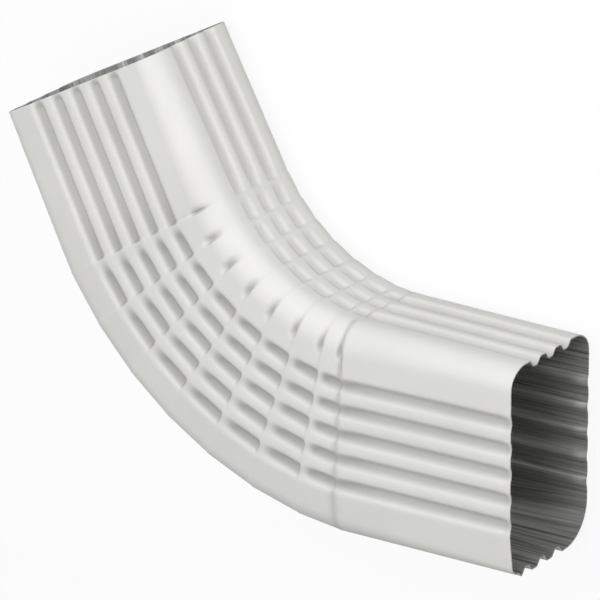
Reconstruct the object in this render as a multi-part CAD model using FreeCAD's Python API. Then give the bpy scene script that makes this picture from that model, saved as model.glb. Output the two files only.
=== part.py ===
import FreeCAD, Part
import math
import os

# Corrugated rectangular downspout elbow, one formed sheet-metal piece.
# The origin is the centre of the outlet opening. The outlet leg runs back along -X, the bend turns
# towards +Y (the throat, the short way round), and the inlet leg rises from it at the bend angle.
# Z is across the width, so the elbow lies on one of its two wide sides.

os.makedirs("parts", exist_ok=True)
doc = FreeCAD.newDocument("downspout_elbow")

# Driving sizes, in millimetres and degrees; shares are parts of one.
SIZES = [
    ("depth", 107.95, "outside, heel to throat"),
    ("width", 69.85, "outside, side to side"),
    ("wall", 0.61, "sheet thickness"),
    ("corner_radius", 12.7, "outside corners of the section"),
    ("outlet_near_radius", 8, "heel corner at the outlet's rim, +Z side"),
    ("outlet_far_radius", 20, "heel corner at the outlet's rim, -Z side"),
    ("bend_angle", 64, "between the two legs"),
    ("crease_count", 8, "creases that share the bend"),
    ("inlet_length", 82, "centre line, rim to first crease"),
    ("band_length", 21.2, "centre line, crease to crease"),
    ("end_band_length", 16.8, "centre line, the band next to the outlet leg"),
    ("outlet_length", 97.5, "centre line, last crease to rim"),
    ("side_grooves", 5, "on each wide side"),
    ("side_margin", 11.4, "land between a wide side's grooves and its corners"),
    ("side_land", 3.7, "land between two grooves of a wide side"),
    ("side_floor", 0.6, "flat bottom of a wide side's groove"),
    ("side_depth", 3, "wide side's grooves, below the lands"),
    ("edge_grooves", 3, "on the heel and on the throat"),
    ("edge_margin", 4, "land between a narrow side's grooves and its corners"),
    ("edge_land", 4, "land between two grooves of a narrow side"),
    ("edge_floor", 2.4, "flat bottom of a narrow side's groove"),
    ("edge_depth", 3.2, "narrow side's grooves, below the lands"),
    ("throat_depth", 1.2, "throat grooves inside the bend"),
    ("rim_fade", 5, "run in which the wide sides' grooves flatten to a rim"),
    ("rim_share", 0.3, "what is left of their depth at a rim"),
    ("inlet_skew", 2.2, "tilt of the inlet's cut across the width, degrees"),
    ("bend_swell", 1.5, "how far heel and throat stand out in the bend, fading to the rims"),
    ("throat_draw", 2.2, "how far the throat is drawn in at the rims, fading to the bend"),
    ("tuck_heel", 0.2, "sink of a band's downstream edge at the heel"),
    ("tuck_side", 0.5, "the same at the wide side's end next to the throat"),
    ("tuck_corner", 2.8, "the same at the start of the throat corner"),
    ("tuck_throat", 0.2, "the same on the throat"),
    ("pocket_run", 5, "land that falls into the throat corner's pocket"),
    ("step_run", 2.2, "run of the step up to the next band"),
    ("lip_share", 0.15, "depth share of the grooves where a band starts"),
    ("close_run", 5.3, "run from a band's deepest section to its tucked edge"),
    ("close_share", 0.9, "depth share of the grooves at the tucked edge"),
    ("inlet_taper", 14, "run in which the inlet leg sinks to its tucked edge"),
    ("outlet_share", 0.5, "depth share of the grooves where the outlet leg starts"),
    ("outlet_taper", 12, "run in which they reach their full depth"),
]
sheet = doc.addObject("Spreadsheet::Sheet", "Sizes")
for row, (alias, value, note) in enumerate(SIZES, start=1):
    sheet.set("A%d" % row, alias)
    sheet.set("B%d" % row, str(value))
    sheet.set("C%d" % row, note)
    sheet.setAlias("B%d" % row, alias)
doc.recompute()


def size(alias):
    return float(sheet.get(alias))


depth = size("depth")
width = size("width")
wall = size("wall")
radius = size("corner_radius")
creases = int(size("crease_count"))
bend = math.radians(size("bend_angle"))
halfStep = size("step_run") / 2
cornerSteps = 4


# Section: throat, near side, heel, far side and back. The cut end of the outlet leg is racked: its
# near heel corner is sharper and its far one rounder, and the heel's grooves stand nearer.
# A point has its place along the depth and the width, its outward direction, its face, its groove
# level (0 on a land, 1 on a groove's bottom), its tuck at a crease, and its tuck away from one.

def grooveMarks(flat, count, margin, land, floor):
    """Places and levels of the groove corners along a flat, from its low end to its high end."""
    pitch = (flat - 2 * margin + land) / count
    slopeEnd = (pitch - land) / 2
    marks = []
    for index in range(count):
        middle = (index - (count - 1) / 2) * pitch
        marks.append((middle - slopeEnd, 0))
        marks.append((middle - floor / 2, 1))
        marks.append((middle + floor / 2, 1))
        marks.append((middle + slopeEnd, 0))
    return marks


def sideTuck(along):
    """A wide side's tuck grows evenly from the heel to the throat."""
    reach = depth - 2 * radius
    share = (along + reach / 2) / reach
    return size("tuck_heel") + share * (size("tuck_side") - size("tuck_heel"))


def edgeMarks():
    return grooveMarks(width - 2 * radius, int(size("edge_grooves")), size("edge_margin"),
                       size("edge_land"), size("edge_floor"))


def throatPoints():
    """Groove corners on the throat, from its middle to one side."""
    tuck = size("tuck_throat")
    return [(depth / 2, place, 1, 0, "throat", level, tuck, tuck)
            for place, level in edgeMarks() if place > 0]


def heelPoints(shift):
    """Groove corners on the heel, from the near side to the far side."""
    tuck = size("tuck_heel")
    return [(-depth / 2, place + shift, -1, 0, "heel", level, tuck, tuck)
            for place, level in reversed(edgeMarks())]


def throatCorner():
    """From the throat to the wide side, with the pocket at the side's end of the corner."""
    points = []
    for index in range(cornerSteps + 1):
        share = index / cornerSteps
        angle = share * math.pi / 2
        away = size("tuck_throat") + share * (size("tuck_side") - size("tuck_throat"))
        deep = max(0, 2 * share - 1)
        tuck = size("tuck_throat") + deep * (size("tuck_corner") - size("tuck_throat"))
        points.append((depth / 2 - radius + radius * math.cos(angle),
                       width / 2 - radius + radius * math.sin(angle),
                       math.cos(angle), math.sin(angle), "corner", 0, tuck, away))
    return points


def heelCorner(turn):
    """From the wide side to the heel, with the given radius."""
    tuck = size("tuck_heel")
    points = []
    for index in range(cornerSteps + 1):
        angle = math.pi / 2 * (1 + index / cornerSteps)
        points.append((turn - depth / 2 + turn * math.cos(angle),
                       width / 2 - turn + turn * math.sin(angle),
                       math.cos(angle), math.sin(angle), "corner", 0, tuck, tuck))
    return points


def sidePoints():
    """Pocket's edge and groove corners on a wide side, from the throat to the heel."""
    marks = grooveMarks(depth - 2 * radius, int(size("side_grooves")), size("side_margin"),
                        size("side_land"), size("side_floor"))
    marks.append((depth / 2 - radius - size("pocket_run"), 0))
    return [(place, width / 2, 0, 1, "side", level, sideTuck(place), sideTuck(place))
            for place, level in reversed(marks)]


def sectionPoints(rack):
    """All of the section, racked by a share of the outlet's rack."""
    nearRadius = radius + rack * (size("outlet_near_radius") - radius)
    farRadius = radius + rack * (size("outlet_far_radius") - radius)
    near = throatPoints() + throatCorner() + sidePoints() + heelCorner(nearRadius)
    far = throatPoints() + throatCorner() + sidePoints() + heelCorner(farRadius)
    other = [(point[0], -point[1], point[2], -point[3]) + point[4:] for point in reversed(far)]
    return near + heelPoints((farRadius - nearRadius) / 2) + other


def outerOutline(depths, swell, sink, pocket, rack):
    """Outside of the sheet: lands and grooves, swollen along the depth, sunk by a share of the tuck."""
    outline = []
    for along, across, outAlong, outAcross, face, level, tuck, away in sectionPoints(rack):
        drop = level * depths.get(face, 0) + sink * (tuck if pocket else away)
        rise = swell * size("bend_swell")
        if outAlong > 0:
            rise -= (1 - swell) * size("throat_draw")
        outline.append((along + outAlong * (rise - drop), across - outAcross * drop))
    return outline


def innerOutline(outline):
    """Inside of the sheet: each corner moved in, so that every run is one wall further in."""
    inside = []
    for index, (along, across) in enumerate(outline):
        before = outline[index - 1]
        after = outline[(index + 1) % len(outline)]
        first = runNormal(before, (along, across))
        second = runNormal((along, across), after)
        scale = wall / (1 + first[0] * second[0] + first[1] * second[1])
        inside.append((along - scale * (first[0] + second[0]),
                       across - scale * (first[1] + second[1])))
    return inside


def runNormal(start, end):
    length = math.hypot(end[0] - start[0], end[1] - start[1])
    return ((end[1] - start[1]) / length, (start[0] - end[0]) / length)


# Route: leg 0 is the inlet, legs 1 to creases - 1 are the bands, the last is the outlet leg.

def flowDirection(leg):
    angle = bend * (1 - leg / creases)
    return FreeCAD.Vector(math.cos(angle), -math.sin(angle), 0)


def squareAcross(leg):
    """Towards the throat, square to a leg."""
    angle = bend * (1 - leg / creases)
    return FreeCAD.Vector(math.sin(angle), math.cos(angle), 0)


def creaseAcross(crease):
    """Towards the throat in a crease's plane, which halves the turn between its two legs."""
    angle = bend * (1 - (crease - 0.5) / creases)
    stretch = 1 / math.cos(bend / creases / 2)
    return FreeCAD.Vector(math.sin(angle), math.cos(angle), 0) * stretch


def legLength(leg):
    if leg == creases - 1:
        return size("end_band_length")
    return size("band_length")


def creaseCentres():
    """Centres of creases 1 to the last, worked back from the outlet opening."""
    centres = {creases: flowDirection(creases) * -size("outlet_length")}
    for crease in range(creases - 1, 0, -1):
        centres[crease] = centres[crease + 1] - flowDirection(crease) * legLength(crease)
    return centres


centres = creaseCentres()
inletCentre = centres[1] - flowDirection(0) * size("inlet_length")


# Stations: where the sheet's section is set. The inside of a step lies a little downstream of its
# outside, which keeps the wall through the step.

def grooveDepths(share, throat):
    return {"side": share * size("side_depth"), "heel": share * size("edge_depth"), "throat": throat}


def station(centre, across, depths, swell, sink=0, pocket=False, lag=FreeCAD.Vector(), rack=0):
    outline = outerOutline(depths, swell, sink, pocket, rack)
    return {"centre": centre, "across": across, "upward": FreeCAD.Vector(0, 0, 1),
            "outer": outline, "inner": innerOutline(outline), "lag": lag}


def stepLag(leg):
    rise = size("tuck_side") + size("close_share") * size("side_depth")
    slope = math.atan2(rise, size("step_run"))
    return flowDirection(leg) * (wall * math.tan(slope / 2))


def tuckStation(crease):
    leg = crease - 1
    depths = grooveDepths(size("close_share"), size("throat_depth"))
    centre = centres[crease] - flowDirection(leg) * halfStep
    return station(centre, creaseAcross(crease), depths, 1, 1, True, stepLag(leg))


def lipStation(crease, share):
    depths = grooveDepths(share, share * size("throat_depth"))
    centre = centres[crease] + flowDirection(crease) * halfStep
    return station(centre, creaseAcross(crease), depths, 1, 0, False, stepLag(crease))


def deepStation(band):
    """A band's deepest section, between its two crease planes."""
    share = 1 - size("close_run") / legLength(band)
    centre = centres[band] * (1 - share) + centres[band + 1] * share
    across = creaseAcross(band) * (1 - share) + creaseAcross(band + 1) * share
    return station(centre, across, grooveDepths(1, size("throat_depth")), 1, share * share)


def rimStations(leg, opening, inward, length, skew, rack):
    """An opening's rim and the section one fade in from it."""
    share = size("rim_fade") / length
    across = squareAcross(leg)
    rimDepths = grooveDepths(1, size("edge_depth"))
    rimDepths["side"] = size("rim_share") * size("side_depth")
    full = grooveDepths(1, size("edge_depth"))
    rim = station(opening, across, rimDepths, 0, rack=rack)
    rim["upward"] += inward * math.tan(math.radians(skew))
    return [rim, station(opening + inward * size("rim_fade"), across, full, share,
                         rack=rack * (1 - share))]


def allStations():
    """From the inlet's rim to the outlet's."""
    inletRun = size("inlet_length")
    outletRun = size("outlet_length")
    legDepths = grooveDepths(1, size("edge_depth"))
    outletStart = size("outlet_taper") / outletRun
    stations = rimStations(0, inletCentre, flowDirection(0), inletRun, size("inlet_skew"), 0)
    stations.append(station(centres[1] - flowDirection(0) * size("inlet_taper"), squareAcross(0),
                            legDepths, 1 - size("inlet_taper") / inletRun))
    stations.append(tuckStation(1))
    for band in range(1, creases):
        stations.append(lipStation(band, size("lip_share")))
        stations.append(deepStation(band))
        stations.append(tuckStation(band + 1))
    stations.append(lipStation(creases, size("outlet_share")))
    stations.append(station(centres[creases] + flowDirection(creases) * size("outlet_taper"),
                            squareAcross(creases), legDepths, 1 - outletStart, rack=outletStart))
    stations += reversed(rimStations(creases, FreeCAD.Vector(), -flowDirection(creases), outletRun,
                                     0, 1))
    return stations


# Sheet: both skins are ruled between neighbouring stations in flat facets, and a flat cut edge joins
# them at each rim. A skin's ring of corners has the same count at every station.

def ring(one, skin):
    """A skin's corners at a station, from its outline."""
    centre = one["centre"] + one["lag"] if skin == "inner" else one["centre"]
    return [centre + one["across"] * along + one["upward"] * sideways
            for along, sideways in one[skin]]


def bandFacets(points, first, second, count, outward):
    """Facets between two rings, given by the numbers of their first corners."""
    facets = []
    for index in range(count):
        after = (index + 1) % count
        corners = [first + index, first + after, second + after, second + index]
        if not outward:
            corners.reverse()
        facets += splitFacet(points, corners)
    return facets


def splitFacet(points, corners):
    """Two triangles of a four-cornered facet, along its shorter diagonal."""
    a, b, c, d = corners
    if (points[a] - points[c]).Length <= (points[b] - points[d]).Length:
        return [(a, b, c), (a, c, d)]
    return [(a, b, d), (b, c, d)]


def sheetSolid(stations):
    count = len(stations[0]["outer"])
    points = []
    for one in stations:
        points += ring(one, "outer") + ring(one, "inner")
    facets = []
    for number in range(len(stations) - 1):
        outer = 2 * number * count
        facets += bandFacets(points, outer, outer + 2 * count, count, True)
        facets += bandFacets(points, outer + count, outer + 3 * count, count, False)
    last = 2 * (len(stations) - 1) * count
    facets += bandFacets(points, 0, count, count, False)
    facets += bandFacets(points, last, last + count, count, True)
    shell = Part.Shape()
    shell.makeShapeFromMesh((points, facets), 0.001)
    solid = Part.makeSolid(shell)
    if solid.Volume < 0:
        solid.reverse()
    return solid.removeSplitter()


elbow = doc.addObject("Part::Feature", "Elbow")
elbow.Label = "downspout_elbow"
elbow.Shape = sheetSolid(allStations())
elbow.Placement = FreeCAD.Placement()
doc.recompute()

for item in doc.Objects:
    if "Invalid" in item.State or "Error" in item.State:
        raise RuntimeError("failed object: " + item.Label)
if elbow.Shape.isNull() or not elbow.Shape.isValid():
    raise RuntimeError("the elbow's shape is not valid")

elbow.Shape.exportStep("parts/" + elbow.Label + ".step")
print("faces", len(elbow.Shape.Faces), "solids", len(elbow.Shape.Solids))
print("volume mm3", round(elbow.Shape.Volume), "area mm2", round(elbow.Shape.Area))
print("box", elbow.Shape.BoundBox)
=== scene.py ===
import math
import bpy
import numpy
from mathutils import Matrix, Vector


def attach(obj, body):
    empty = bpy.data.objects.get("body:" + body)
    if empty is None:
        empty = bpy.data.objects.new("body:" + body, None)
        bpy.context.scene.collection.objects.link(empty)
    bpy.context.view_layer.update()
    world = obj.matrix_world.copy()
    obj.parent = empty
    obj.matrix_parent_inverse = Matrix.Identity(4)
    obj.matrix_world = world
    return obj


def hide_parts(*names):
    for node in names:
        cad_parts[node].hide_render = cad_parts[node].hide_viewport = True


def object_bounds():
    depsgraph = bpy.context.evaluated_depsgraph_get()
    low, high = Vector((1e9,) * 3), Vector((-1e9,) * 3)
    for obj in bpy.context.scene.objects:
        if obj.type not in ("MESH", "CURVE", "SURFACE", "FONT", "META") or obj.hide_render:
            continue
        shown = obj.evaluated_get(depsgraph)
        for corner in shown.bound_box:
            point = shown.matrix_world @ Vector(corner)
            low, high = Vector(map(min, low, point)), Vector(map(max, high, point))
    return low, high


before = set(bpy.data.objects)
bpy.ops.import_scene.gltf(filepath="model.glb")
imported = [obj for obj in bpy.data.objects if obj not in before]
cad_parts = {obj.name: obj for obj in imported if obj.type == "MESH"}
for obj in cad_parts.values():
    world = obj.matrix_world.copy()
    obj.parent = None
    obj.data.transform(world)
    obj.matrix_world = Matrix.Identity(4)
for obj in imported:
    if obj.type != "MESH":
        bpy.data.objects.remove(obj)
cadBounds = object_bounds()
print("frame loaded, box", cadBounds)

mm = 0.001
upright = Vector((0, 0, 1))

# the elbow's sheet, in millimetres and degrees
elbow = {
    "depth": 107.95, "width": 69.85, "wall": 0.61, "cornerRadius": 12.7,
    "outletNearRadius": 8, "outletFarRadius": 20, "cornerGap": 0.5,
    "bendAngle": 64, "creases": 8, "inletLength": 82, "outletLength": 97.5,
    "bandLength": 21.2, "endBandLength": 16.8,
    "sideGrooves": 5, "sideMargin": 11.4, "sideLand": 3.7, "sideFloor": 0.6, "sideDepth": 3,
    "edgeGrooves": 3, "edgeMargin": 4, "edgeLand": 4, "edgeFloor": 2.4, "edgeDepth": 3.2,
    "throatDepth": 1.2, "rimFade": 5, "rimShare": 0.3, "inletSkew": 2.2, "skewReach": 0.125,
    "bendSwell": 1.5, "throatDraw": 2.2, "heelFall": 2.0,
    "tuckHeel": 0.2, "tuckSide": 0.5, "tuckCorner": 2.8, "tuckThroat": 0.2, "pocketRun": 5.0,
    "stepRun": 2.2, "lipShare": 0.1, "openReach": 0.8, "closeRun": 5.3, "closeShare": 0.9,
    "outletShare": 0.5, "inletTaper": 14, "outletTaper": 12,
    # painted shade in the legs' and the throat's grooves, how soon a groove fills with it, and the last
    # crease's painted grey
    "legPaintedShade": 0.74, "throatPaintedShade": 0.3, "sideFill": 1.7, "throatFill": 1.5, "bendReach": 0.25,
    "lastShade": 0.4, "lastRun": 3.4,
    # points round a section
    "grooveSteps": 11, "cornerSteps": 9, "marginStep": 1.4, "tolerance": 0.01,
    # stations along the pipe: distances from a rim, and shares of a taper, half a step or a band
    "inletPlaces": (0, 0.5, 1.2, 2, 3, 4, 5, 7, 12, 20, 30, 40, 50, 58),
    "inletTaperPlaces": (1, 0.86, 0.72, 0.58, 0.46, 0.36, 0.28, 0.21, 0.15, 0.1),
    "stepPlaces": (-1, -0.75, -0.5, -0.25, 0, 0.25, 0.5, 0.75, 1),
    "bandPlaces": (0.03, 0.06, 0.1, 0.15, 0.21, 0.28, 0.36, 0.45, 0.54, 0.63, 0.71, 0.78, 0.84, 0.89,
                   0.93, 0.96, 0.98),
    "outletTaperPlaces": (0.1, 0.16, 0.24, 0.33, 0.43, 0.54, 0.66, 0.78, 0.9, 1),
    "outletPlaces": (74, 62, 50, 38, 26, 16, 9, 5, 4, 3, 2, 1.2, 0.5, 0),
    "insideEvery": 3, "sharpAngle": 60,
}


# smooth rise from 0 to 1
def ease(x):
    x = min(1.0, max(0.0, x))
    return x * x * (3 - 2 * x)


# places along a flat, with how deep into a groove each one lies (0 land, 1 floor)
def grooveProfile(flat, kind, s):
    count, margin = s[kind + "Grooves"], s[kind + "Margin"]
    land, floor = s[kind + "Land"], s[kind + "Floor"]
    steps = s["grooveSteps"]
    pitch = (flat - 2 * margin + land) / count
    half = (pitch - land) / 2
    middles = [(g - (count - 1) / 2) * pitch for g in range(count)]
    marginCount = int(margin / s["marginStep"])
    places = [-flat / 2 + (k + 1) * margin / (marginCount + 1) for k in range(marginCount)]
    for g, middle in enumerate(middles):
        places += [middle + half * (2 * k / steps - 1) for k in range(steps + 1)]
        if g < count - 1:
            places.append(middle + pitch / 2)
    places += [-place for place in reversed(places[:marginCount])]
    levels = []
    for place in places:
        nearest = min(abs(place - middle) for middle in middles)
        levels.append(ease((half - nearest) / (half - floor / 2)))
    return places, levels


# one side of the section, from the middle of the throat round to the end of its heel corner: for
# each point its place, the way out, its depth in a side, heel or throat groove, and its tuck in a
# pocket and away from it
def sideSamples(s, heelRadius):
    radius = s["cornerRadius"]
    halfDeep, halfWide = s["depth"] / 2, s["width"] / 2
    flatDeep, flatWide = s["depth"] - 2 * radius, s["width"] - 2 * radius
    lowest = max(s["outletNearRadius"], s["outletFarRadius"]) - halfDeep + s["cornerGap"]
    half = []

    def add(along, across, outAlong, outAcross, side, throat, tuck, away):
        half.append((along, across, outAlong, outAcross, side, 0, throat, tuck, away))

    for place, level in zip(*grooveProfile(flatWide, "edge", s)):
        if place > 0:
            add(halfDeep, place, 1, 0, 0, level, s["tuckThroat"], s["tuckThroat"])
    for k in range(s["cornerSteps"] + 1):
        share = k / s["cornerSteps"]
        angle = share * math.pi / 2
        away = s["tuckThroat"] + share * (s["tuckSide"] - s["tuckThroat"])
        tuck = away + ease(2 * share - 1) * (s["tuckCorner"] - away)
        add(halfDeep - radius + radius * math.cos(angle), halfWide - radius + radius * math.sin(angle),
            math.cos(angle), math.sin(angle), 0, 0, tuck, away)
    for place, level in reversed(list(zip(*grooveProfile(flatDeep, "side", s)))):
        if place < lowest:
            continue
        share = place / flatDeep + 0.5
        away = s["tuckHeel"] + share * (s["tuckSide"] - s["tuckHeel"])
        near = ease(1 - (flatDeep / 2 - place) / s["pocketRun"])
        add(place, halfWide, 0, 1, level, 0, away + near * (s["tuckCorner"] - s["tuckSide"]), away)
    for k in range(s["cornerSteps"] + 1):
        angle = math.pi / 2 * (1 + k / s["cornerSteps"])
        add(heelRadius - halfDeep + heelRadius * math.cos(angle),
            halfWide - heelRadius + heelRadius * math.sin(angle),
            math.cos(angle), math.sin(angle), 0, 0, s["tuckHeel"], s["tuckHeel"])
    return half


# the whole section: near side, heel, far side; the outlet's cut end is racked, so that its near
# heel corner is sharper and its far one rounder, and the heel's grooves stand nearer
def sectionSamples(s, rack):
    radius = s["cornerRadius"]
    nearRadius = radius + rack * (s["outletNearRadius"] - radius)
    farRadius = radius + rack * (s["outletFarRadius"] - radius)
    flatWide = s["width"] - 2 * radius
    places, levels = grooveProfile(flatWide, "edge", s)
    shift = (farRadius - nearRadius) / 2
    reach = flatWide / 2 - s["edgeMargin"] + s["tolerance"]
    heel = [(-s["depth"] / 2, place + shift, -1, 0, 0, level, 0, s["tuckHeel"], s["tuckHeel"])
            for place, level in zip(places, levels) if abs(place) < reach]
    other = [(p[0], -p[1], p[2], -p[3]) + p[4:] for p in reversed(sideSamples(s, farRadius))]
    return numpy.array(sideSamples(s, nearRadius) + heel[::-1] + other)


# down the flow, and towards the throat, for a leg's angle
def legAxes(angle):
    return (Vector((math.cos(angle), -math.sin(angle), 0)), Vector((math.sin(angle), math.cos(angle), 0)))


# the legs' and bands' angles, the bands' lengths, and each crease's centre and way across
def pipeLayout(s):
    last = s["creases"]
    turn = math.radians(s["bendAngle"]) / last
    angles = [math.radians(s["bendAngle"]) - k * turn for k in range(last + 1)]
    lengths = {k: s["endBandLength"] if k == last - 1 else s["bandLength"] for k in range(1, last)}
    centres = {last: legAxes(0)[0] * -s["outletLength"]}
    for k in range(last - 1, 0, -1):
        centres[k] = centres[k + 1] - legAxes(angles[k])[0] * lengths[k]
    across = {k: legAxes(angles[k] + turn / 2)[1] / math.cos(turn / 2) for k in centres}
    return {"angles": angles, "lengths": lengths, "centres": centres, "across": across}


# how much of a side groove's depth is left near a rim
def rimShareAt(gap, s):
    return s["rimShare"] + (1 - s["rimShare"]) * ease(gap / s["rimFade"])


# one ring of a leg, at a distance from the leg's crease
def legRow(s, pipe, crease, distance, side, throat):
    inlet = crease == 1
    run, taper = (s["inletLength"], s["inletTaper"]) if inlet else (s["outletLength"], s["outletTaper"])
    flow, square = legAxes(pipe["angles"][0] if inlet else 0)
    towardsRim = -flow if inlet else flow
    skew = math.tan(math.radians(s["inletSkew"])) * ease(1 - (1 - distance / run) / s["skewReach"])
    return {"place": pipe["centres"][crease] + towardsRim * distance,
            "across": pipe["across"][crease].lerp(square, min(1, distance / taper)),
            "upward": upright - towardsRim * skew if inlet else upright,
            "side": side, "edge": 1, "throat": throat, "swell": 1 - distance / run,
            "sink": max(0, 1 - distance / taper) ** 2 if inlet else 0,
            "pocket": ease(1 - distance / s["closeRun"]) if inlet else 0,
            "rack": 0 if inlet else distance / run}


# the inlet leg's rings, rim first
def inletRows(s, pipe):
    rows = []
    run, taper = s["inletLength"], s["inletTaper"]
    for distance in [run - d for d in s["inletPlaces"]] + [taper * t for t in s["inletTaperPlaces"]]:
        closing = ease((taper - distance) / taper)
        side = rimShareAt(run - distance, s) * (1 - (1 - s["closeShare"]) * closing ** 2)
        throat = 1 + (s["throatDepth"] / s["edgeDepth"] - 1) * closing
        rows.append(legRow(s, pipe, 1, distance, side, throat))
    return rows


# the bend's rings: at each crease a step from the tucked band up to the next one's lip, then that
# band, whose grooves open behind the lip and close towards the next step
def bendRows(s, pipe):
    rows = []
    centres, across = pipe["centres"], pipe["across"]
    halfStep = s["stepRun"] / 2
    throatShare = s["throatDepth"] / s["edgeDepth"]
    last = s["creases"]

    def add(place, towards, share, throat, sink, pocket):
        rows.append({"place": place, "across": towards, "upward": upright, "side": share, "edge": share,
                     "throat": throat, "swell": 1, "sink": sink, "pocket": pocket, "rack": 0})

    for band in range(1, last + 1):
        before, after = legAxes(pipe["angles"][band - 1])[0], legAxes(pipe["angles"][band])[0]
        lip = s["outletShare"] if band == last else s["lipShare"]
        for t in s["stepPlaces"]:
            rise = ease((t + 1) / 2)
            add(centres[band] + (before if t < 0 else after) * (t * halfStep), across[band],
                s["closeShare"] + (lip - s["closeShare"]) * rise,
                throatShare * (1 - (1 - lip) * rise), 1 - rise, 1)
        if band == last:
            continue
        lipPlace = centres[band] + after * halfStep
        tuckPlace = centres[band + 1] - after * halfStep
        peak = 1 - s["closeRun"] / pipe["lengths"][band]
        for w in s["bandPlaces"]:
            opening = ease(w / (peak * s["openReach"]))
            closing = ease((w - peak) / (1 - peak))
            add(lipPlace.lerp(tuckPlace, w), across[band].lerp(across[band + 1], w),
                lip + (1 - lip) * opening - (1 - s["closeShare"]) * closing,
                throatShare * (lip + (1 - lip) * opening), w * w, closing)
    return rows


# the outlet leg's rings, from the last crease to the rim
def outletRows(s, pipe):
    rows = []
    run, taper = s["outletLength"], s["outletTaper"]
    start = s["throatDepth"] / s["edgeDepth"] * s["outletShare"]
    for distance in [taper * t for t in s["outletTaperPlaces"]] + [run - d for d in s["outletPlaces"]]:
        opening = ease(distance / taper)
        side = (s["outletShare"] + (1 - s["outletShare"]) * opening) * rimShareAt(run - distance, s)
        rows.append(legRow(s, pipe, s["creases"], distance, side, start + (1 - start) * opening))
    return rows


# every place along the pipe where a ring of the sheet is set, from the inlet's rim to the outlet's
def stationRows(s):
    pipe = pipeLayout(s)
    rows = inletRows(s, pipe) + bendRows(s, pipe) + outletRows(s, pipe)
    for row in rows:
        row["samples"] = sectionSamples(s, row["rack"])
        # painted shade along the last crease, the same soft grey as the grooves' painted shade
        gap = (row["place"] - pipe["centres"][s["creases"]]).length
        row["shade"] = s["lastShade"] * ease(1 - gap / s["lastRun"])
    return rows


# outside of the sheet at one station, as points along the depth and across the width
def outerOutline(row, s):
    along, across, outAlong, outAcross, side, heel, throat, tuck, away = row["samples"].T
    drop = side * row["side"] * s["sideDepth"]
    drop = drop + heel * row["edge"] * s["edgeDepth"] + throat * row["throat"] * s["edgeDepth"]
    drop = drop + row["sink"] * (away + (tuck - away) * row["pocket"])
    # the land next to the near side's heel corner falls away a little
    landEnd = s["cornerRadius"] + s["sideMargin"] - s["depth"] / 2
    heelward = numpy.clip((landEnd - along) / s["sideMargin"], 0, 1)
    drop = drop + (outAcross > 0) * heelward ** 2 * s["heelFall"]
    rise = row["swell"] * s["bendSwell"] - (outAlong > 0) * (1 - row["swell"]) * s["throatDraw"]
    return numpy.stack((along + outAlong * (rise - drop), across - outAcross * drop), axis=1)


# the painted shade on a station's points, from 0 to 1: in grooves, in pockets and along the last crease
def paintedShadeShare(row, s):
    _, _, _, outAcross, side, _, throat, tuck, away = row["samples"].T
    # painted shade in the throat corners' pockets, deepest where the tuck sinks furthest
    pocket = (tuck - away) / s["tuckCorner"] * row["sink"] * row["pocket"]
    # the painted shade is deeper in the short grooves of the bend than along the legs
    bend = ease(1 - (1 - row["swell"]) / s["bendReach"])
    side = side * min(1, s["sideFill"] * row["side"]) * (s["legPaintedShade"] + (1 - s["legPaintedShade"]) * bend)
    throat = s["throatPaintedShade"] * throat * min(1, s["throatFill"] * row["throat"])
    # painted shade along the last crease
    crease = row["shade"] * (outAcross != 0)
    return numpy.maximum.reduce([side, throat, pocket, crease])


# the outside as a grid of points, station by station, in metres
def outerGrid(rows, s):
    grid = numpy.zeros((len(rows), len(rows[0]["samples"]), 3))
    for k, row in enumerate(rows):
        outline = outerOutline(row, s)
        grid[k] = (numpy.array(row["place"]) + outline[:, :1] * numpy.array(row["across"]) +
                   outline[:, 1:] * numpy.array(row["upward"]))
    return grid * mm


# the inside, one wall in from the outside; the rims' rings stay in their own planes
def innerGrid(grid, rows, wall):
    around = numpy.roll(grid, -1, axis=1) - numpy.roll(grid, 1, axis=1)
    down = numpy.gradient(grid, axis=0)
    normal = numpy.cross(around, down)
    for end, inward in ((0, 1), (-1, -1)):
        plane = numpy.cross(numpy.array(rows[end]["across"]), numpy.array(rows[end]["upward"]))
        plane /= numpy.linalg.norm(plane)
        normal[end] = numpy.cross(around[end], plane)
        if (normal[end] * normal[end + inward]).sum() < 0:
            normal[end] *= -1
    normal /= numpy.linalg.norm(normal, axis=2, keepdims=True)
    middle = grid.mean(axis=1, keepdims=True)
    if ((grid - middle) * normal).sum() < 0:
        normal = -normal
    return grid - normal * wall * mm


# quads of the outside, the inside and the two cut edges, each with its finish (0 paint, 1 bare)
def sheetFaces(count, outerRows, innerRows):
    innerStart = outerRows * count
    rimInStart = innerStart + innerRows * count
    rimOutStart = rimInStart + count
    faces = []
    finish = []

    def band(first, second, turned, kind):
        for k in range(count):
            after = (k + 1) % count
            corners = (first + k, first + after, second + after, second + k)
            faces.append(corners[::-1] if turned else corners)
            finish.append(kind)

    for k in range(outerRows - 1):
        band(k * count, (k + 1) * count, False, 0)
    for k in range(innerRows - 1):
        band(innerStart + k * count, innerStart + (k + 1) * count, True, 1)
    band(0, rimInStart, True, 1)
    band(rimInStart, innerStart, True, 1)
    band((outerRows - 1) * count, rimOutStart, False, 1)
    band(rimOutStart, innerStart + (innerRows - 1) * count, False, 1)
    return faces, finish


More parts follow.
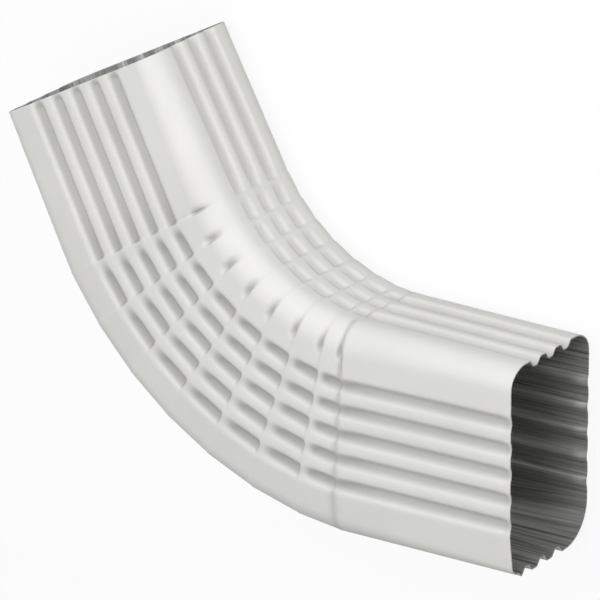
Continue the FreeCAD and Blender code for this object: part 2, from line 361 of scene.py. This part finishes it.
# place on the sheet, around and along, for finishes that follow the metal
def markPlaces(mesh, rows, outer, insideRows):
    count = outer.shape[1]
    aroundStep = numpy.linalg.norm(numpy.roll(outer[0], -1, axis=0) - outer[0], axis=1)
    around = numpy.concatenate(([0], numpy.cumsum(aroundStep)[:-1]))
    spine = numpy.array([row["place"] for row in rows]) * mm
    alongStep = numpy.linalg.norm(numpy.diff(spine, axis=0), axis=1)
    along = numpy.concatenate(([0], numpy.cumsum(alongStep)))
    rings = len(rows) + len(insideRows) + 2
    placeAround = numpy.tile(around, rings)
    placeAlong = numpy.repeat(numpy.concatenate((along, along[insideRows], along[:1], along[-1:])), count)
    corners = numpy.zeros(len(mesh.loops), dtype=numpy.int32)
    mesh.loops.foreach_get("vertex_index", corners)
    flat = numpy.stack((placeAround[corners], placeAlong[corners]), axis=1)
    # the strip that closes the ring runs on, so that it doesn't fold back over the whole sheet
    total = float(aroundStep.sum())
    quads = flat[:, 0].reshape(-1, 4)
    closing = (numpy.ptp(quads, axis=1) > total / 2)[:, None] & (quads < total / 2)
    flat[:, 0] += (closing * total).ravel()
    layer = mesh.uv_layers.new(name="sheetPlace")
    layer.data.foreach_set("uv", flat.astype(numpy.float32).ravel())


# painted shade on the outside's points; the inside and the cut edges have none
def markPaintedShade(mesh, rows, s):
    paintedShade = numpy.concatenate([paintedShadeShare(row, s) for row in rows])
    values = numpy.zeros(len(mesh.vertices), dtype=numpy.float32)
    values[:len(paintedShade)] = paintedShade
    mesh.attributes.new("grooveShade", "FLOAT", "POINT").data.foreach_set("value", values)


def buildElbow(s):
    rows = stationRows(s)
    outer = outerGrid(rows, s)
    insideRows = [k for k in range(len(rows)) if k % s["insideEvery"] == 0 or k == len(rows) - 1]
    inner = innerGrid(outer, rows, s["wall"])[insideRows]
    # each rim's cut edge has a ring halfway through the wall
    rimIn = (outer[0] + inner[0]) / 2
    rimOut = (outer[-1] + inner[-1]) / 2
    points = numpy.concatenate((outer.reshape(-1, 3), inner.reshape(-1, 3), rimIn, rimOut))
    points = numpy.clip(points, cadBounds[0], cadBounds[1])
    faces, finish = sheetFaces(outer.shape[1], len(rows), len(insideRows))
    mesh = bpy.data.meshes.new("elbowSheet")
    mesh.from_pydata(points.tolist(), [], faces)
    mesh.update()
    markPlaces(mesh, rows, outer, insideRows)
    markPaintedShade(mesh, rows, s)
    mesh.polygons.foreach_set("material_index", finish)
    mesh.polygons.foreach_set("use_smooth", [True] * len(faces))
    mesh.set_sharp_from_angle(angle=math.radians(s["sharpAngle"]))
    piece = bpy.data.objects.new("elbowSheet", mesh)
    bpy.context.collection.objects.link(piece)
    print("sheet built,", len(rows), "stations of", outer.shape[1], "points,", 2 * len(faces), "triangles")
    return piece


# node helpers for the finishes; most of a noise lies between these two values
noiseSpan = (0.3, 0.7)


def newFinish(name):
    finish = bpy.data.materials.new(name)
    finish.use_nodes = True
    nodes = finish.node_tree.nodes
    return finish, nodes, finish.node_tree.links, nodes["Principled BSDF"]


# the sheet's own place, stretched so that a noise runs along the metal
def stretchedPlace(nodes, links, scale):
    place = nodes.new("ShaderNodeUVMap")
    place.uv_map = "sheetPlace"
    mapping = nodes.new("ShaderNodeMapping")
    mapping.inputs["Scale"].default_value = scale
    links.new(place.outputs["UV"], mapping.inputs["Vector"])
    return mapping.outputs["Vector"]


def noiseOf(nodes, links, place, scale, detail, roughness=0.55):
    noise = nodes.new("ShaderNodeTexNoise")
    noise.inputs["Scale"].default_value = scale
    noise.inputs["Detail"].default_value = detail
    noise.inputs["Roughness"].default_value = roughness
    links.new(place, noise.inputs["Vector"])
    return noise.outputs["Fac"]


def rangeOf(nodes, links, value, low, high, span=noiseSpan):
    reach = nodes.new("ShaderNodeMapRange")
    reach.inputs["From Min"].default_value = span[0]
    reach.inputs["From Max"].default_value = span[1]
    reach.inputs["To Min"].default_value = low
    reach.inputs["To Max"].default_value = high
    links.new(value, reach.inputs["Value"])
    return reach.outputs["Result"]


def blendOf(nodes, links, value, first, second):
    ramp = nodes.new("ShaderNodeValToRGB")
    for stop, place, colour in zip(ramp.color_ramp.elements, noiseSpan, (first, second)):
        stop.position = place
        stop.color = colour + (1,)
    links.new(value, ramp.inputs["Fac"])
    return ramp.outputs["Color"]


def bumpOf(nodes, links, height, strength, distance):
    bump = nodes.new("ShaderNodeBump")
    bump.inputs["Strength"].default_value = strength
    bump.inputs["Distance"].default_value = distance
    links.new(height, bump.inputs["Height"])
    return bump.outputs["Normal"]


# baked off-white paint on coil: faint rolling lines, orange peel, a little unevenness in its sheen
offWhite = {
    "light": (0.79, 0.785, 0.76), "shade": (0.755, 0.75, 0.725), "cloudScale": 26,
    "paintedShade": (0.58, 0.58, 0.57), "roughLow": 0.4, "roughHigh": 0.52, "sheenScale": 60,
    "rollingScale": (900, 14, 1), "rollingShare": 0.35, "peelScale": 1500,
    "peel": 0.05, "peelDepth": 0.0003, "specular": 0.06,
}


def offWhitePaint(look):
    finish, nodes, links, shader = newFinish("offWhitePaint")
    coordinates = nodes.new("ShaderNodeTexCoord").outputs["Object"]
    cloud = noiseOf(nodes, links, coordinates, look["cloudScale"], 4)
    # painted shade: the colour is multiplied darker where grooveShade marks the grooves, the pockets and
    # the last crease
    groove = nodes.new("ShaderNodeAttribute")
    groove.attribute_name = "grooveShade"
    paintedShade = nodes.new("ShaderNodeMix")
    paintedShade.data_type = "RGBA"
    paintedShade.blend_type = "MULTIPLY"
    paintedShade.inputs["B"].default_value = look["paintedShade"] + (1,)
    links.new(groove.outputs["Fac"], paintedShade.inputs["Factor"])
    links.new(blendOf(nodes, links, cloud, look["shade"], look["light"]), paintedShade.inputs["A"])
    links.new(paintedShade.outputs["Result"], shader.inputs["Base Color"])
    sheen = noiseOf(nodes, links, coordinates, look["sheenScale"], 3)
    links.new(rangeOf(nodes, links, sheen, look["roughLow"], look["roughHigh"]), shader.inputs["Roughness"])
    rolling = noiseOf(nodes, links, stretchedPlace(nodes, links, look["rollingScale"]), 1, 3)
    peel = noiseOf(nodes, links, coordinates, look["peelScale"], 2)
    height = nodes.new("ShaderNodeMath")
    height.operation = "MULTIPLY_ADD"
    height.inputs[1].default_value = look["rollingShare"]
    links.new(rolling, height.inputs[0])
    links.new(peel, height.inputs[2])
    links.new(bumpOf(nodes, links, height.outputs["Value"], look["peel"], look["peelDepth"]),
              shader.inputs["Normal"])
    shader.inputs["Specular IOR Level"].default_value = look["specular"]
    return finish


# the bare back of the coil: dull dark satin metal with streaks along the pipe, partly drawn lines and
# partly a painted reflection in their pale colour
bareBack = {
    "dark": (0.11, 0.11, 0.105), "light": (0.52, 0.52, 0.505), "metal": 0.4,
    "streakScale": (700, 9, 1), "streakRough": 0.65, "fineScale": (3200, 30, 1),
    "roughLow": 0.42, "roughHigh": 0.62, "lines": 0.25, "lineDepth": 0.00015,
}


def bareCoilBack(look):
    finish, nodes, links, shader = newFinish("bareCoilBack")
    streakPlace = stretchedPlace(nodes, links, look["streakScale"])
    # painted reflection: the pale streaks in the colour stand in for light reflected along the drawn lines,
    # which are also real
    streaks = noiseOf(nodes, links, streakPlace, 1, 5, look["streakRough"])
    links.new(blendOf(nodes, links, streaks, look["dark"], look["light"]), shader.inputs["Base Color"])
    fine = noiseOf(nodes, links, stretchedPlace(nodes, links, look["fineScale"]), 1, 3)
    links.new(rangeOf(nodes, links, fine, look["roughLow"], look["roughHigh"]), shader.inputs["Roughness"])
    links.new(bumpOf(nodes, links, fine, look["lines"], look["lineDepth"]), shader.inputs["Normal"])
    shader.inputs["Metallic"].default_value = look["metal"]
    return finish


sheet = buildElbow(elbow)
sheet.data.materials.append(offWhitePaint(offWhite))
sheet.data.materials.append(bareCoilBack(bareBack))
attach(sheet, "root")
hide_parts("downspout_elbow")
print("elbow placed")


# 1 for the camera and for what gloss and glass show of the background, 0 for other light
def seenShare(nodes, links):
    rays = nodes.new("ShaderNodeLightPath")
    seen = rays.outputs["Is Camera Ray"]
    for kind in ("Is Glossy Ray", "Is Transmission Ray"):
        most = nodes.new("ShaderNodeMath")
        most.operation = "MAXIMUM"
        links.new(seen, most.inputs[0])
        links.new(rays.outputs[kind], most.inputs[1])
        seen = most.outputs["Value"]
    return seen


# pale card just under the elbow, near white to the camera, still taking the elbow's shadow
paperFloor = {
    "level": -0.03498, "reach": 6.0, "glow": 0.9, "roughness": 0.9,
    "seen": (0.95, 0.95, 0.95), "bounce": (0.3, 0.3, 0.3),
}


def buildFloor(s):
    mesh = bpy.data.meshes.new("paperFloor")
    reach, level = s["reach"], s["level"]
    mesh.from_pydata([(-reach, -reach, level), (reach, -reach, level), (reach, reach, level),
                      (-reach, reach, level)], [], [(0, 1, 2, 3)])
    floor = bpy.data.objects.new("paperFloor", mesh)
    bpy.context.collection.objects.link(floor)
    finish, nodes, links, shader = newFinish("palePaper")
    seen = seenShare(nodes, links)
    links.new(blendOf(nodes, links, seen, s["bounce"], s["seen"]), shader.inputs["Base Color"])
    shader.inputs["Roughness"].default_value = s["roughness"]
    glow = nodes.new("ShaderNodeEmission")
    glow.inputs["Color"].default_value = (1, 1, 1, 1)
    share = nodes.new("ShaderNodeMath")
    share.operation = "MULTIPLY"
    share.inputs[1].default_value = s["glow"]
    links.new(seen, share.inputs[0])
    mix = nodes.new("ShaderNodeMixShader")
    links.new(share.outputs["Value"], mix.inputs["Fac"])
    links.new(shader.outputs["BSDF"], mix.inputs[1])
    links.new(glow.outputs["Emission"], mix.inputs[2])
    links.new(mix.outputs["Shader"], nodes["Material Output"].inputs["Surface"])
    mesh.materials.append(finish)


# a lamp into the outlet from the throat's side, a large one above, and a graded sky
studio = {
    "lamps": [
        # name, place, size, power
        ("sideLamp", (1.2, 0.95, 0.2), 0.5, 11),
        ("topLamp", (-0.05, 0.5, 1.6), 1.3, 18.5),
    ],
    "aim": (-0.13, 0.04, 0),
    "skyHeel": 0.2, "skyThroat": 0.42, "skyWay": (-0.1, 0.88, 0.46), "skySpan": (-0.15, 1.0),
}


def placeLamps(s):
    for name, place, width, power in s["lamps"]:
        lamp = bpy.data.lights.new(name, "AREA")
        lamp.size = width
        lamp.energy = power
        holder = bpy.data.objects.new(name, lamp)
        holder.location = place
        towards = Vector(s["aim"]) - Vector(place)
        holder.rotation_euler = towards.to_track_quat("-Z", "Y").to_euler()
        bpy.context.collection.objects.link(holder)


# soft sky, brighter from the throat's side and from above, and white where it is seen
def buildSky(s):
    world = bpy.data.worlds.new("softSky")
    world.use_nodes = True
    nodes, links = world.node_tree.nodes, world.node_tree.links
    light = nodes["Background"]
    light.inputs["Color"].default_value = (1, 1, 1, 1)
    way = nodes.new("ShaderNodeVectorMath")
    way.operation = "DOT_PRODUCT"
    way.inputs[1].default_value = s["skyWay"]
    links.new(nodes.new("ShaderNodeTexCoord").outputs["Generated"], way.inputs[0])
    strength = rangeOf(nodes, links, way.outputs["Value"], s["skyHeel"], s["skyThroat"], s["skySpan"])
    links.new(strength, light.inputs["Strength"])
    white = nodes.new("ShaderNodeBackground")
    white.inputs["Color"].default_value = (1, 1, 1, 1)
    mix = nodes.new("ShaderNodeMixShader")
    links.new(seenShare(nodes, links), mix.inputs["Fac"])
    links.new(light.outputs["Background"], mix.inputs[1])
    links.new(white.outputs["Background"], mix.inputs[2])
    links.new(mix.outputs["Shader"], nodes["World Output"].inputs["Surface"])
    bpy.context.scene.world = world


buildFloor(paperFloor)
placeLamps(studio)
buildSky(studio)
print("studio lit")

# the photograph's view: a long lens looking down on the elbow, rolled to its framing
view = {
    "place": (1.024032, 0.77165, 1.683928), "turn": (0.94104596, -0.16246239, 0.29312905, 0.04597654),
    "lens": 270, "sensor": 36, "farClip": 20,
}


def placeCamera(s):
    camera = bpy.data.cameras.new("photoView")
    camera.lens = s["lens"]
    camera.sensor_width = s["sensor"]
    camera.clip_end = s["farClip"]
    holder = bpy.data.objects.new("photoView", camera)
    holder.location = s["place"]
    holder.rotation_mode = "QUATERNION"
    holder.rotation_quaternion = s["turn"]
    bpy.context.collection.objects.link(holder)
    bpy.context.scene.camera = holder
    bpy.context.scene.view_settings.view_transform = "Standard"


placeCamera(view)
print("camera set")
